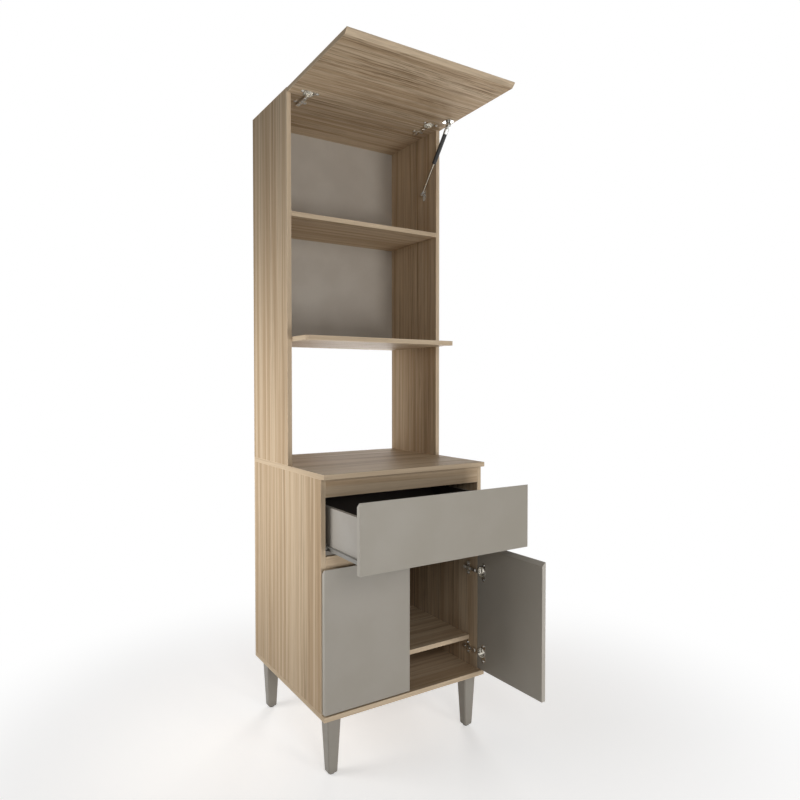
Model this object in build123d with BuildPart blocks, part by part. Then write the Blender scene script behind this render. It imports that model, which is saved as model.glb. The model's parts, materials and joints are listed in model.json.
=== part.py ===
"""Tall kitchen stand: a cupboard base with a drawer and two doors, an open bay, a shelf and a top niche.

Lengths are in millimetres and angles in degrees. X runs to the right, Y to the back and Z up.
The origin is on the floor, on the centre line, midway between the back and the tip of the open door.
The stand is modelled with its flap up, its drawer part way out and its right door open.
"""
import os
from math import sqrt

from build123d import *

os.makedirs("parts", exist_ok=True)

# Boards
stand_width = 600.0
board = 15.0
lower_depth = 567.0
upper_depth = 307.0
microwave_shelf_depth = 416.0
origin_to_back = 422.0
leg_height = 180.0
lower_side_height = 694.0
upper_side_height = 1205.0
bay_height = 400.0
microwave_height = 387.0
rail_height = 54.0
drawer_opening = 174.0
shelf_corner = 12.0
edge_ease = 0.6
sheet = 3.0
sheet_margin = 3.0

# Inner shelf on pins
inner_shelf_rise = 105.0
inner_shelf_setback = 40.0
inner_shelf_play = 1.0
shelf_pin_radius = 2.5
shelf_pin_reach = 8.0
shelf_pin_depth = 9.0
shelf_pin_shares = (0.15, 0.85)

# Fronts
front_inset = 1.5
front_gap = 4.0
meeting_gap = 4.0
door_lift = 5.0
finger_gap = 34.0
grip_bevel = 12.0

# Pose shown
drawer_pull = 210.0
right_door_angle = 91.5
left_door_angle = 0.0
flap_angle = 91.0

# Concealed hinges
upper_hinge_drop = 94.0
lower_hinge_rise = 58.0
flap_hinge_inset = 66.0
pivot_edge = 7.5
pivot_depth = 6.5
cup_radius = 17.5
cup_edge = 3.0
cup_depth = 11.5
cup_wall = 0.8
cup_fit = 0.1
cup_sides = 24
rim_radius = 18.6
flange = 0.8
wing_reach = 11.5
wing_width = 18.0
wing_length = 62.0
wing_corner = 5.0
cup_screw_spread = 50.0
hinge_pin_radius = 1.0
eye_radius = 2.0
link_thickness = 2.4
arm_width = 11.0
arm_thickness = 3.0
arm_length = 80.0
plate_thickness = 3.0
plate_middle = 54.0
plate_length = 40.0
plate_wing = 15.0
plate_span = 46.0
plate_corner = 4.0
plate_screw_spread = 32.0

# Screws, bolts and other small hidden rounds, which are drawn with flat sides
few_sides = 6
many_sides = 12
head_radius = 3.6
head_height = 1.6
shank_radius = 1.75
screw_length = 11.0
end_play = 0.3

# Legs
leg_top = 46.0
leg_foot = 30.0
leg_corner = 3.0
leg_inset = 43.0
foot_bevel = 5.0
leg_bolt_radius = 4.0
leg_bolt_depth = 30.0
panel_bolt_depth = 11.0
glide_size = 17.0
glide_height = 3.0

# Drawer
slide_gap = 12.5
drawer_board = 12.0
drawer_side_height = 128.0
drawer_length = 450.0
drawer_rise = 16.0
drawer_back_drop = 15.0
groove_rise = 10.0
groove_depth = 6.0
groove_play = 0.1

# Roller slides
slide_metal = 1.2
slide_setback = 2.0
runner_height = 16.0
runner_seat = 10.5
runner_reach = 10.0
channel_reach = 9.5
lip_reach = 6.0
lip_play = 0.7
roller_radius = 6.5
roller_width = 7.0
roller_play = 0.3
roller_inset = 12.0
axle_radius = 2.5
axle_play = 0.2

# Gas strut
strut_inset = 25.0
strut_reach = 84.0
strut_standoff = 14.0
strut_setback = 74.0
strut_drop = 231.0
strut_end = 12.0
strut_radius = 7.5
strut_wall = 1.5
cylinder_length = 128.0
gland = 8.0
rod_radius = 3.5
rod_length = 129.0
piston = 6.0
piston_play = 0.3
neck_radius = 3.0
strut_eye_radius = 5.5
strut_eye_width = 8.0
strut_pin_radius = 2.5
stud_radius = 3.0
ear = 2.0
ear_width = 13.0
ear_play = 0.3
bracket_metal = 2.0
flap_bracket_length = 36.0
flap_bracket_width = 30.0
side_bracket_length = 46.0
side_bracket_width = 18.0
bracket_corner = 4.0

# Running fits and the overrun of cuts
running_fit = 0.06
screw_fit = 0.05
overrun = 1.0

# Positions of the boards
half_width = stand_width / 2
inner_half = half_width - board
back = origin_to_back
lower_front = back - lower_depth
upper_front = back - upper_depth
front_inner = lower_front + board
side_front = front_inner + front_gap
flap_inner = upper_front - front_gap
bottom_z = leg_height
lower_side_z = bottom_z + board
worktop_z = lower_side_z + lower_side_height
upper_side_z = worktop_z + board
top_z = upper_side_z + upper_side_height
microwave_shelf_z = upper_side_z + bay_height
niche_shelf_z = microwave_shelf_z + board + microwave_height
top_panel_z = top_z - board
top_rail_z = worktop_z - rail_height
drawer_front_z = top_rail_z - drawer_opening
middle_rail_z = drawer_front_z - rail_height
drawer_front_top = worktop_z - finger_gap
door_z = lower_side_z + door_lift
door_top = drawer_front_z - finger_gap
door_width = half_width - front_inset - meeting_gap / 2
flap_top = top_z - front_inset
flap_width = stand_width - 2 * front_inset
inner_shelf_z = lower_side_z + inner_shelf_rise - board
inner_shelf_front = side_front + inner_shelf_setback

# Positions of the hinges
side_face = board - front_inset - pivot_edge
cup_centre = cup_edge + cup_radius - pivot_edge
wing_centre = cup_centre + wing_reach
door_pivot_x = half_width - front_inset - pivot_edge
door_pivot_y = front_inner - pivot_depth
flap_pivot_y = flap_inner - pivot_depth
flap_pivot_z = flap_top - pivot_edge
flap_hinge_x = half_width - flap_hinge_inset
upper_hinge_z = door_top - upper_hinge_drop
lower_hinge_z = door_z + lower_hinge_rise
door_middle_z = (door_z + door_top) / 2

# Positions of the drawer
drawer_outer = inner_half - slide_gap
drawer_inner = drawer_outer - drawer_board
drawer_base = drawer_front_z + drawer_rise
box_front = front_inner - drawer_pull
box_back = box_front + drawer_length
drawer_sheet_z = drawer_base + groove_rise
runner_top = drawer_base - slide_metal + runner_height
channel_front = side_front + slide_setback
channel_back = channel_front + drawer_length
roller_middle = (drawer_outer + inner_half) / 2
front_roller_y = channel_front + roller_inset
front_roller_z = runner_top - slide_metal - roller_play - roller_radius
rear_roller_y = box_back - roller_inset
rear_roller_z = front_roller_z - roller_play
channel_floor = rear_roller_z - roller_radius - roller_play
channel_lip = runner_top + lip_play


def keep(piece, name):
    """Name a piece and write its file."""
    piece.label = name
    export_step(piece, f"parts/{name}.step")


def block(x_span, y_span, z_span, mode=Mode.ADD):
    """A block between three pairs of limits, in the part that is open."""
    with BuildSketch(Plane.XY.offset(z_span[0])) as outline:
        with Locations(((x_span[0] + x_span[1]) / 2, (y_span[0] + y_span[1]) / 2)):
            Rectangle(x_span[1] - x_span[0], y_span[1] - y_span[0])
    extrude(outline.sketch, amount=z_span[1] - z_span[0], mode=mode)


def eased_board(x_span, y_span, z_span):
    """A board with lightly eased edges, in the part that is open."""
    block(x_span, y_span, z_span)
    chamfer(edges(), length=edge_ease)


def bore(seat, radius, depth):
    """A round hole from a seat, along its direction, in the part that is open."""
    with BuildSketch(seat) as ring:
        Circle(radius)
    extrude(ring.sketch, amount=depth, mode=Mode.SUBTRACT)


def faceted_bore(seat, radius, depth):
    """A few-sided hole from a seat, along its direction, in the part that is open."""
    with BuildSketch(seat) as ring:
        RegularPolygon(radius, few_sides)
    extrude(ring.sketch, amount=depth, mode=Mode.SUBTRACT)


def clipped_rectangle(width, height, corner):
    """A rectangle with its corners cut off, in the sketch that is open."""
    x_end = width / 2
    y_end = height / 2
    x_cut = x_end - corner
    y_cut = y_end - corner
    lower = [(x_end, -y_cut), (x_cut, -y_end), (-x_cut, -y_end), (-x_end, -y_cut)]
    upper = [(-x_end, y_cut), (-x_cut, y_end), (x_cut, y_end), (x_end, y_cut)]
    Polygon(*lower, *upper, align=None)


def mirrored(piece):
    """The right-hand twin of a left-hand piece."""
    with BuildPart() as twin:
        mirror(piece, about=Plane.YZ)
    return twin.part


# Hinge frames, with x along the closed front from its hinged edge, y into the stand and z along the pin
def door_frame(side, height):
    """Hinge frame of a closed door on the left or right side."""
    origin = (side * door_pivot_x, door_pivot_y, height)
    return Plane(origin, x_dir=(-side, 0, 0), z_dir=(0, 0, -side))


def flap_frame(place):
    """Hinge frame of the closed flap, at a place across the stand."""
    return Plane((place, flap_pivot_y, flap_pivot_z), x_dir=(0, 0, -1), z_dir=(1, 0, 0))


def opened(frame, angle):
    """A hinge frame that has turned with its front."""
    turned = frame.x_dir.rotate(Axis((0, 0, 0), frame.z_dir), -angle)
    return Plane(frame.origin, x_dir=turned, z_dir=frame.z_dir)


def cup_seat(frame):
    """Seat of a hinge cup on the inner face of its front."""
    origin = frame.from_local_coords((cup_centre, pivot_depth, 0))
    return Plane(origin, x_dir=frame.x_dir, z_dir=frame.y_dir)


def cup_screw_seats(frame):
    """Seats of the screw heads on the wings of a hinge cup."""
    seats = []
    for side in (-1, 1):
        place = (wing_centre, pivot_depth + flange, side * cup_screw_spread / 2)
        seats.append(Plane(frame.from_local_coords(place), x_dir=frame.x_dir, z_dir=frame.y_dir))
    return seats


def plate_seat(frame):
    """Seat of a hinge plate on the inner face of the board that carries it."""
    origin = frame.from_local_coords((side_face, plate_middle, 0))
    return Plane(origin, x_dir=frame.y_dir, z_dir=frame.x_dir)


def plate_screw_seats(frame):
    """Seats of the screw heads on the wings of a hinge plate."""
    seats = []
    for side in (-1, 1):
        place = (side_face + plate_thickness, plate_middle, side * plate_screw_spread / 2)
        seats.append(Plane(frame.from_local_coords(place), x_dir=frame.y_dir, z_dir=frame.x_dir))
    return seats


left_door_hinges = {
    "left_door_upper": door_frame(-1, upper_hinge_z),
    "left_door_lower": door_frame(-1, lower_hinge_z),
}
right_door_hinges = {
    "right_door_upper": door_frame(1, upper_hinge_z),
    "right_door_lower": door_frame(1, lower_hinge_z),
}
flap_hinges = {
    "flap_left": flap_frame(-flap_hinge_x),
    "flap_right": flap_frame(flap_hinge_x),
}


def front_board(frame, reach, length):
    """A plain hinged front in its own frame, in the part that is open."""
    with BuildSketch(frame.offset(-length / 2)) as profile:
        with Locations((reach / 2 - pivot_edge, pivot_depth - board / 2)):
            Rectangle(reach, board)
    extrude(profile.sketch, amount=length)


def hinge_bores(frame):
    """Cup and screw holes of one hinge in a front, in the part that is open."""
    bore(cup_seat(frame), cup_radius + cup_fit, -cup_depth - cup_fit)
    for seat in cup_screw_seats(frame):
        faceted_bore(seat, shank_radius + screw_fit, -screw_length - screw_fit)


def plate_bores(frames):
    """Screw holes of the hinge plates in a board, in the part that is open."""
    for frame in frames:
        for seat in plate_screw_seats(frame):
            faceted_bore(seat, shank_radius + screw_fit, -screw_length - screw_fit)


def hinge_cup(frame):
    """A pressed hinge cup with its wings and its pin, in the frame of its front."""
    seat = cup_seat(frame)
    pin_half = sqrt((cup_radius - cup_wall / 2) ** 2 - (cup_centre + hinge_pin_radius) ** 2)
    with BuildPart() as cup:
        with BuildSketch(seat):
            RegularPolygon(cup_radius, cup_sides)
        extrude(amount=-cup_depth)
        with BuildSketch(seat):
            RegularPolygon(rim_radius, cup_sides)
            with Locations((wing_reach, 0)):
                clipped_rectangle(wing_width, wing_length, wing_corner)
        extrude(amount=flange)
        with BuildSketch(seat.offset(flange)):
            RegularPolygon(cup_radius - cup_wall, cup_sides)
        extrude(amount=-flange - cup_depth + cup_wall, mode=Mode.SUBTRACT)
        for screw_seat in cup_screw_seats(frame):
            faceted_bore(screw_seat, shank_radius + screw_fit, -flange)
        with BuildSketch(frame):
            Circle(hinge_pin_radius)
        extrude(amount=pin_half, both=True)
    return cup.part


def hinge_arm(frame):
    """A cranked hinge arm that turns on the pin of its cup."""
    inner = side_face + plate_thickness
    outer = inner + arm_thickness
    half_link = link_thickness / 2
    with BuildPart() as arm:
        with BuildSketch(frame):
            RegularPolygon(eye_radius, many_sides)
            with BuildLine():
                Polyline(
                    (0, -half_link),
                    (outer, -half_link),
                    (outer, arm_length),
                    (inner, arm_length),
                    (inner, half_link),
                    (0, half_link),
                    close=True,
                )
            make_face()
            Circle(hinge_pin_radius + running_fit, mode=Mode.SUBTRACT)
        extrude(amount=arm_width / 2, both=True)
    return arm.part


def screw_group(seats):
    """Pan-head screws, with their heads on the seats."""
    with BuildPart() as group:
        for seat in seats:
            with BuildSketch(seat):
                RegularPolygon(head_radius, few_sides)
            extrude(amount=head_height)
            with BuildSketch(seat):
                RegularPolygon(shank_radius, few_sides)
            extrude(amount=-screw_length)
    return group.part


# Lower sides
with BuildPart() as left_lower_side:
    eased_board((-half_width, -inner_half), (side_front, back), (lower_side_z, worktop_z))
    plate_bores(left_door_hinges.values())
    for share in shelf_pin_shares:
        pin_y = inner_shelf_front + share * (back - inner_shelf_front)
        pin_origin = (-inner_half, pin_y, inner_shelf_z - shelf_pin_radius)
        pin_seat = Plane(pin_origin, x_dir=(0, 1, 0), z_dir=(1, 0, 0))
        faceted_bore(pin_seat, shelf_pin_radius + screw_fit, -shelf_pin_depth)
keep(left_lower_side.part, "left_lower_side")
keep(mirrored(left_lower_side.part), "right_lower_side")

# Leg places on the bottom panel
leg_x = half_width - leg_inset
leg_places = {
    "front_left": (-leg_x, lower_front + leg_inset),
    "front_right": (leg_x, lower_front + leg_inset),
    "rear_left": (-leg_x, back - leg_inset),
    "rear_right": (leg_x, back - leg_inset),
}

# Bottom panel, worktop and rails
with BuildPart() as bottom_panel:
    eased_board((-half_width, half_width), (lower_front, back), (bottom_z, lower_side_z))
    for leg_place in leg_places.values():
        faceted_bore(Plane((*leg_place, bottom_z)), leg_bolt_radius + screw_fit, panel_bolt_depth)
keep(bottom_panel.part, "bottom_panel")

with BuildPart() as worktop:
    eased_board((-half_width, half_width), (lower_front, back), (worktop_z, upper_side_z))
keep(worktop.part, "worktop")

with BuildPart() as top_rail:
    eased_board((-inner_half, inner_half), (side_front, side_front + board), (top_rail_z, worktop_z))
keep(top_rail.part, "top_rail")

with BuildPart() as middle_rail:
    eased_board((-inner_half, inner_half), (side_front, side_front + board), (middle_rail_z, drawer_front_z))
keep(middle_rail.part, "middle_rail")

# Back sheets
sheet_half = half_width - sheet_margin
with BuildPart() as lower_back:
    block(
        (-sheet_half, sheet_half),
        (back, back + sheet),
        (bottom_z + sheet_margin, upper_side_z - sheet_margin),
    )
keep(lower_back.part, "lower_back")

with BuildPart() as upper_back:
    block(
        (-sheet_half, sheet_half),
        (back, back + sheet),
        (microwave_shelf_z + sheet_margin, top_z - sheet_margin),
    )
keep(upper_back.part, "upper_back")

# Inner shelf and its pins
shelf_half = inner_half - inner_shelf_play
with BuildPart() as inner_shelf:
    eased_board(
        (-shelf_half, shelf_half),
        (inner_shelf_front, back - inner_shelf_play),
        (inner_shelf_z, inner_shelf_z + board),
    )
keep(inner_shelf.part, "inner_shelf")

with BuildPart() as shelf_pins:
    for share in shelf_pin_shares:
        pin_y = inner_shelf_front + share * (back - inner_shelf_front)
        for side in (-1, 1):
            pin_origin = (side * inner_half, pin_y, inner_shelf_z - shelf_pin_radius)
            pin_frame = Plane(pin_origin, x_dir=(0, 1, 0), z_dir=(-side, 0, 0))
            with BuildSketch(pin_frame.offset(end_play - shelf_pin_depth)):
                RegularPolygon(shelf_pin_radius, few_sides)
            extrude(amount=shelf_pin_depth + shelf_pin_reach - end_play)
keep(shelf_pins.part, "shelf_pins")

# Upper sides and the boards between them
with BuildPart() as left_upper_side:
    eased_board((-half_width, -inner_half), (upper_front, back), (upper_side_z, top_z))
keep(left_upper_side.part, "left_upper_side")
keep(mirrored(left_upper_side.part), "right_upper_side")

with BuildPart() as top_panel:
    eased_board((-inner_half, inner_half), (upper_front, back), (top_panel_z, top_z))
    plate_bores(flap_hinges.values())
keep(top_panel.part, "top_panel")

with BuildPart() as niche_shelf:
    eased_board((-inner_half, inner_half), (upper_front, back), (niche_shelf_z, niche_shelf_z + board))
keep(niche_shelf.part, "niche_shelf")

with BuildPart() as microwave_shelf:
    block(
        (-inner_half, inner_half),
        (back - microwave_shelf_depth, back),
        (microwave_shelf_z, microwave_shelf_z + board),
    )
    fillet(edges().filter_by(Axis.Z).group_by(Axis.Y)[0], radius=shelf_corner)
    chamfer(edges().group_by(Axis.Z)[0] + edges().group_by(Axis.Z)[-1], length=edge_ease)
keep(microwave_shelf.part, "microwave_shelf")

# Doors
with BuildPart() as left_door:
    front_board(opened(door_frame(-1, door_middle_z), left_door_angle), door_width, door_top - door_z)
    left_inward = opened(door_frame(-1, door_middle_z), left_door_angle).y_dir
    top_edges = edges().group_by(Axis.Z)[-1].sort_by(Axis((0, 0, 0), left_inward))
    chamfer(top_edges[-1], length=grip_bevel)
    chamfer(edges(), length=edge_ease)
    for left_door_hinge in left_door_hinges.values():
        hinge_bores(opened(left_door_hinge, left_door_angle))
keep(left_door.part, "left_door")

with BuildPart() as right_door:
    front_board(opened(door_frame(1, door_middle_z), right_door_angle), door_width, door_top - door_z)
    right_inward = opened(door_frame(1, door_middle_z), right_door_angle).y_dir
    top_edges = edges().group_by(Axis.Z)[-1].sort_by(Axis((0, 0, 0), right_inward))
    chamfer(top_edges[-1], length=grip_bevel)
    chamfer(edges(), length=edge_ease)
    for right_door_hinge in right_door_hinges.values():
        hinge_bores(opened(right_door_hinge, right_door_angle))
keep(right_door.part, "right_door")

# Flap
open_flap_frame = opened(flap_frame(0), flap_angle)
with BuildPart() as flap:
    front_board(open_flap_frame, flap_top - niche_shelf_z, flap_width)
    free_edges = edges().filter_by(Axis.X).sort_by(Axis((0, 0, 0), open_flap_frame.x_dir))
    chamfer(free_edges[-2:].sort_by(Axis((0, 0, 0), open_flap_frame.y_dir))[-1], length=grip_bevel)
    chamfer(edges(), length=edge_ease)
    for flap_hinge in flap_hinges.values():
        hinge_bores(opened(flap_hinge, flap_angle))
keep(flap.part, "flap")

# Hinges
for hinge_set, angle in (
    (left_door_hinges, left_door_angle),
    (right_door_hinges, right_door_angle),
    (flap_hinges, flap_angle),
):
    for hinge_name, hinge_frame in hinge_set.items():
        keep(hinge_cup(opened(hinge_frame, angle)), f"{hinge_name}_cup")
        keep(hinge_arm(hinge_frame), f"{hinge_name}_arm")

all_hinges = list(left_door_hinges.values()) + list(right_door_hinges.values()) + list(flap_hinges.values())
with BuildPart() as hinge_plates:
    for hinge_frame in all_hinges:
        with BuildSketch(plate_seat(hinge_frame)):
            clipped_rectangle(plate_length, arm_width, plate_corner)
            clipped_rectangle(plate_wing, plate_span, plate_corner)
        extrude(amount=plate_thickness)
        for plate_screw_seat in plate_screw_seats(hinge_frame):
            faceted_bore(plate_screw_seat, shank_radius + screw_fit, -plate_thickness)
keep(hinge_plates.part, "hinge_plates")


def front_screw_seats(hinge_set, angle):
    """Screw seats of all the cups of one front."""
    seats = []
    for frame in hinge_set.values():
        seats.extend(cup_screw_seats(opened(frame, angle)))
    return seats


keep(screw_group(front_screw_seats(left_door_hinges, left_door_angle)), "left_door_screws")
keep(screw_group(front_screw_seats(right_door_hinges, right_door_angle)), "right_door_screws")
keep(screw_group(front_screw_seats(flap_hinges, flap_angle)), "flap_screws")
plate_seats = []
for hinge_frame in all_hinges:
    plate_seats.extend(plate_screw_seats(hinge_frame))
keep(screw_group(plate_seats), "hinge_plate_screws")


# Legs
def tapered_leg(place):
    """A square leg that tapers to a bevelled tip, with a hole for its bolt."""
    half_foot = leg_foot / 2
    right_edge = [
        (half_foot - foot_bevel, glide_height),
        (half_foot, glide_height + foot_bevel),
        (leg_top / 2, bottom_z),
    ]
    left_edge = [(-across, height) for across, height in reversed(right_edge)]
    with BuildPart() as leg:
        with BuildSketch(Plane((*place, 0), x_dir=(1, 0, 0), z_dir=(0, -1, 0))):
            Polygon(*right_edge, *left_edge, align=None)
        extrude(amount=leg_top / 2, both=True)
        with BuildSketch(Plane((*place, 0), x_dir=(0, 1, 0), z_dir=(1, 0, 0))):
            Polygon(*right_edge, *left_edge, align=None)
        extrude(amount=leg_top / 2, both=True, mode=Mode.INTERSECT)
        chamfer(edges().sort_by(SortBy.LENGTH)[-4:], length=leg_corner)
        faceted_bore(Plane((*place, bottom_z)), leg_bolt_radius + screw_fit, -leg_bolt_depth)
    return leg.part


for leg_name, leg_place in leg_places.items():
    keep(tapered_leg(leg_place), f"{leg_name}_leg")

with BuildPart() as leg_bolts:
    for leg_place in leg_places.values():
        with BuildSketch(Plane((*leg_place, bottom_z - leg_bolt_depth + end_play))):
            RegularPolygon(leg_bolt_radius, few_sides)
        extrude(amount=leg_bolt_depth + panel_bolt_depth - 2 * end_play)
keep(leg_bolts.part, "leg_bolts")

with BuildPart() as foot_glides:
    for leg_place in leg_places.values():
        with BuildSketch(Plane((*leg_place, 0))):
            clipped_rectangle(glide_size, glide_size, leg_corner)
        extrude(amount=glide_height)
keep(foot_glides.part, "foot_glides")

# Drawer
groove_z = (drawer_sheet_z, drawer_sheet_z + sheet + groove_play)
groove_half = drawer_inner + groove_depth
with BuildPart() as drawer_front:
    block(
        (-half_width + front_inset, half_width - front_inset),
        (box_front - board, box_front),
        (drawer_front_z, drawer_front_top),
    )
    chamfer(edges().filter_by(Axis.X).group_by(Axis.Z)[-1].sort_by(Axis.Y)[-1], length=grip_bevel)
    chamfer(edges(), length=edge_ease)
    block(
        (-groove_half, groove_half),
        (box_front - groove_depth, box_front + overrun),
        groove_z,
        Mode.SUBTRACT,
    )
keep(drawer_front.part, "drawer_front")

with BuildPart() as drawer_left_side:
    eased_board(
        (-drawer_outer, -drawer_inner),
        (box_front, box_back),
        (drawer_base, drawer_base + drawer_side_height),
    )
    block(
        (-groove_half, -drawer_inner + overrun),
        (box_front - overrun, box_back + overrun),
        groove_z,
        Mode.SUBTRACT,
    )
keep(drawer_left_side.part, "drawer_left_side")
keep(mirrored(drawer_left_side.part), "drawer_right_side")

with BuildPart() as drawer_back:
    eased_board(
        (-drawer_inner, drawer_inner),
        (box_back - drawer_board, box_back),
        (drawer_sheet_z + sheet, drawer_base + drawer_side_height - drawer_back_drop),
    )
keep(drawer_back.part, "drawer_back")

drawer_sheet_half = groove_half - groove_play
with BuildPart() as drawer_bottom:
    block(
        (-drawer_sheet_half, drawer_sheet_half),
        (box_front - groove_depth + groove_play, box_back),
        (drawer_sheet_z, drawer_sheet_z + sheet),
    )
keep(drawer_bottom.part, "drawer_bottom")

# Roller slides
roller_inside = -roller_middle + roller_width / 2
roller_outside = -roller_middle - roller_width / 2
channel_web = -inner_half + slide_metal
runner_web = -drawer_outer - slide_metal
with BuildPart() as left_channel:
    with BuildSketch(Plane.XZ.offset(-channel_back)):
        with BuildLine():
            Polyline(
                (-inner_half, channel_floor - slide_metal),
                (-inner_half + channel_reach, channel_floor - slide_metal),
                (-inner_half + channel_reach, channel_floor),
                (channel_web, channel_floor),
                (channel_web, channel_lip),
                (-inner_half + lip_reach, channel_lip),
                (-inner_half + lip_reach, channel_lip + slide_metal),
                (-inner_half, channel_lip + slide_metal),
                close=True,
            )
        make_face()
    extrude(amount=drawer_length)
    with BuildSketch(Plane.YZ.offset(channel_web)):
        with Locations((front_roller_y, front_roller_z)):
            Circle(axle_radius)
    extrude(amount=roller_inside + axle_play - channel_web)
keep(left_channel.part, "left_channel")
keep(mirrored(left_channel.part), "right_channel")

with BuildPart() as left_runner:
    with BuildSketch(Plane.XZ.offset(-box_back)):
        with BuildLine():
            Polyline(
                (-drawer_outer - runner_reach, runner_top),
                (-drawer_outer, runner_top),
                (-drawer_outer, drawer_base),
                (-drawer_outer + runner_seat, drawer_base),
                (-drawer_outer + runner_seat, drawer_base - slide_metal),
                (runner_web, drawer_base - slide_metal),
                (runner_web, runner_top - slide_metal),
                (-drawer_outer - runner_reach, runner_top - slide_metal),
                close=True,
            )
        make_face()
    extrude(amount=drawer_length)
    with BuildSketch(Plane.YZ.offset(runner_web)):
        with Locations((rear_roller_y, rear_roller_z)):
            Circle(axle_radius)
    extrude(amount=roller_outside - axle_play - runner_web)
keep(left_runner.part, "left_runner")
keep(mirrored(left_runner.part), "right_runner")


def slide_roller(y_place, z_place):
    """A left-hand slide roller on its axle."""
    with BuildPart() as roller:
        with BuildSketch(Plane.YZ.offset(roller_outside)):
            with Locations((y_place, z_place)):
                Circle(roller_radius)
                Circle(axle_radius + running_fit, mode=Mode.SUBTRACT)
        extrude(amount=roller_width)
    return roller.part


left_front_roller = slide_roller(front_roller_y, front_roller_z)
left_rear_roller = slide_roller(rear_roller_y, rear_roller_z)
keep(left_front_roller, "left_front_roller")
keep(left_rear_roller, "left_rear_roller")
keep(mirrored(left_front_roller), "right_front_roller")
keep(mirrored(left_rear_roller), "right_rear_roller")

# Gas strut, from its pin on the flap to its stud on the right side
strut_x = half_width - strut_inset
flap_pin_place = (strut_reach - pivot_edge, pivot_depth + strut_standoff, strut_x)
flap_pin = open_flap_frame.from_local_coords(flap_pin_place)
side_stud = Vector(strut_x, upper_front + strut_setback, top_z - strut_drop)
strut_length = (side_stud - flap_pin).length
strut_frame = Plane(flap_pin, x_dir=(1, 0, 0), z_dir=side_stud - flap_pin)
stud_frame = Plane(side_stud, x_dir=(1, 0, 0), z_dir=side_stud - flap_pin)
strut_bore = strut_radius - strut_wall
half_eye = strut_eye_width / 2

with BuildPart() as strut_cylinder:
    with BuildSketch(strut_frame.offset(strut_end)):
        Circle(strut_radius)
    extrude(amount=cylinder_length)
    bore(strut_frame.offset(strut_end + strut_wall), strut_bore, cylinder_length - strut_wall - gland)
    bore(strut_frame.offset(strut_end + cylinder_length), rod_radius + running_fit, -gland - overrun)
keep(strut_cylinder.part, "strut_cylinder")

with BuildPart() as strut_top_end:
    with BuildSketch(strut_frame):
        RegularPolygon(neck_radius, many_sides)
    extrude(amount=strut_end)
    with BuildSketch(Plane(flap_pin, x_dir=(0, 1, 0), z_dir=(1, 0, 0))):
        Circle(strut_eye_radius)
    extrude(amount=half_eye, both=True)
    with BuildSketch(Plane(flap_pin, x_dir=(0, 1, 0), z_dir=(1, 0, 0))):
        Circle(strut_pin_radius + running_fit)
    extrude(amount=half_eye, both=True, mode=Mode.SUBTRACT)
keep(strut_top_end.part, "strut_top_end")

with BuildPart() as strut_rod:
    with BuildSketch(stud_frame.offset(-strut_end)):
        Circle(rod_radius)
    extrude(amount=-rod_length)
    with BuildSketch(stud_frame.offset(-strut_end - rod_length)):
        RegularPolygon(strut_bore - piston_play, many_sides)
    extrude(amount=piston)
keep(strut_rod.part, "strut_rod")

with BuildPart() as strut_rod_end:
    with BuildSketch(stud_frame):
        RegularPolygon(neck_radius, many_sides)
    extrude(amount=-strut_end)
    with BuildSketch(Plane(side_stud, x_dir=(0, 1, 0), z_dir=(1, 0, 0))):
        Circle(strut_eye_radius)
    extrude(amount=half_eye, both=True)
keep(strut_rod_end.part, "strut_rod_end")

# Strut brackets
flap_face = Plane(
    open_flap_frame.from_local_coords((strut_reach - pivot_edge, pivot_depth, strut_x)),
    x_dir=open_flap_frame.x_dir,
    z_dir=open_flap_frame.y_dir,
)
ear_middle = half_eye + ear_play + ear / 2
with BuildPart() as strut_flap_bracket:
    with BuildSketch(flap_face):
        clipped_rectangle(flap_bracket_length, flap_bracket_width, bracket_corner)
    extrude(amount=bracket_metal)
    for ear_side in (-1, 1):
        ear_face = flap_pin + Vector(ear_side * ear_middle - ear / 2, 0, 0)
        with BuildSketch(Plane(ear_face, x_dir=open_flap_frame.x_dir, z_dir=(1, 0, 0))):
            with Locations((0, (ear_width / 2 - strut_standoff) / 2)):
                clipped_rectangle(ear_width, strut_standoff + ear_width / 2, bracket_metal)
        extrude(amount=ear)
    with BuildSketch(Plane(flap_pin, x_dir=(0, 1, 0), z_dir=(1, 0, 0))):
        Circle(strut_pin_radius)
    extrude(amount=ear_middle, both=True)
keep(strut_flap_bracket.part, "strut_flap_bracket")

side_panel_face = Plane((inner_half, side_stud.Y, side_stud.Z), x_dir=(0, -1, 0), z_dir=(-1, 0, 0))
with BuildPart() as strut_side_bracket:
    with BuildSketch(side_panel_face):
        clipped_rectangle(side_bracket_width, side_bracket_length, bracket_corner)
    extrude(amount=bracket_metal)
    with BuildSketch(side_panel_face):
        Circle(stud_radius)
    extrude(amount=inner_half - strut_x - half_eye - ear_play)
keep(strut_side_bracket.part, "strut_side_bracket")
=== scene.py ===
"""Looks of a tall oak kitchen stand with a drawer, two doors and a lift-up flap. Lengths are in metres."""
import json
import math

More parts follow.
